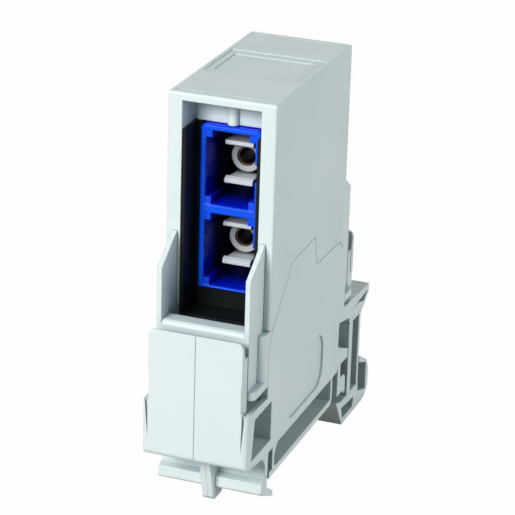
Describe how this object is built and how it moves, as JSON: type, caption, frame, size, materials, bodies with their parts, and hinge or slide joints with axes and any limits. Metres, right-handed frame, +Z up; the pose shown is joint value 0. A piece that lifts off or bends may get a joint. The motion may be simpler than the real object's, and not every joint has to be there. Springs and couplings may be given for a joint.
{
  "type": "rail mounted fibre coupler box",
  "caption": "Narrow light grey housing for a mounting rail, with a blue fibre coupler behind open mouths in the hood, a fixed front claw and a sprung rear latch",
  "frame": {"origin": "middle of the width and length of the whole box, level with its lowest face", "axes": "+X across the narrow width, to the right seen from the front; +Y from the front to the rear latch; +Z up, away from the rail"},
  "size_m": [0.0166, 0.0576, 0.0653],
  "materials": {
    "housing_grey": "fine moulded light grey plastic",
    "latch_grey": "moulded light grey plastic, slightly smoother",
    "coupler_blue": "satin blue moulded plastic",
    "holder_white": "off-white moulded plastic",
    "liner_black": "plain black moulded plastic",
    "bronze": "plain phosphor bronze"
  },
  "bodies": {
    "base": {"hood": "housing_grey", "shell_left": "housing_grey", "shell_right": "housing_grey", "carrier": "housing_grey", "liner_front": "liner_black", "liner_rear": "liner_black", "coupler_front": "coupler_blue", "coupler_rear": "coupler_blue", "holder_front_upper": "holder_white", "holder_front_lower": "holder_white", "holder_rear_upper": "holder_white", "holder_rear_lower": "holder_white", "sleeve_upper": "bronze", "sleeve_lower": "bronze"},
    "outer_leaf": {"leaf_outer": "latch_grey"},
    "inner_leaf": {"leaf_inner": "latch_grey"},
    "latch": {"rail_latch": "latch_grey"}
  },
  "joints": [
    {"name": "leaf_outer_bend", "type": "hinge", "parent": "base", "child": "outer_leaf", "pos_m": [0, 0.02277, 0.01695], "axis": [1, 0, 0], "range_deg": [0, 14.7], "stiffness_Nm_per_rad": 0.45},
    {"name": "latch_level", "type": "hinge", "parent": "outer_leaf", "child": "latch", "pos_m": [0, 0.02277, 0.00435], "axis": [1, 0, 0], "range_deg": [-14.7, 0]},
    {"name": "leaf_inner_bend", "type": "hinge", "parent": "base", "child": "inner_leaf", "pos_m": [0, 0.0184, 0.01695], "axis": [1, 0, 0], "range_deg": [0, 14.7]}
  ],
  "couplings": [
    {"joint": "latch_level", "follows": "leaf_outer_bend", "ratio": -1},
    {"joint": "leaf_inner_bend", "follows": "leaf_outer_bend", "ratio": 1}
  ]
}
